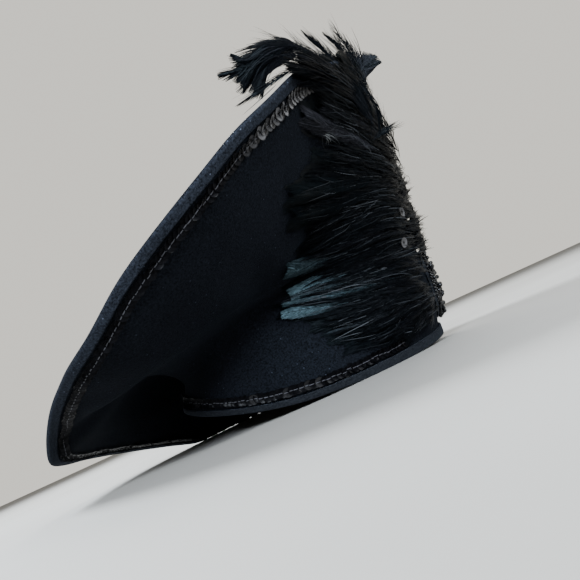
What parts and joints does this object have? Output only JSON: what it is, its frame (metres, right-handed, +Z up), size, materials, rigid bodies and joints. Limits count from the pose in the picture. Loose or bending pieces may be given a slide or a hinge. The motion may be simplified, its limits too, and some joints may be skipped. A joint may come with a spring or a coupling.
{
  "type": "wide-brim hat",
  "caption": "Wide-brim felt hat with an upturned brim, rows of sequins along both edges, a bead motif and a spray of feathers over the front.",
  "frame": {"origin": "middle of the base of the bounding box, on the surface that the hat lies on", "axes": "+X towards the wearer's front, +Y towards the wearer's left, +Z up; the hat leans on its rim and the edge of the drooping brim"},
  "size_m": [0.3392, 0.3704, 0.2437],
  "materials": {
    "felt": "brushed wool felt, midnight blue, nearly black",
    "binding": "narrow felt binding, slate blue",
    "sequins": "black cup sequins, glossy",
    "beads": "black faceted and round beads, glossy",
    "feathers": "black-green iridescent feathers"
  },
  "bodies": {
    "root": {"crown": "felt", "brim": "felt", "rim_binding": "binding", "brim_sequin_trim": "sequins", "rim_sequin_trim": "sequins", "bead_motif": "beads", "side_plumage": "feathers", "top_plume": "feathers", "drop_sequin_upper": "sequins", "drop_sequin_lower": "sequins"}
  },
  "joints": []
}
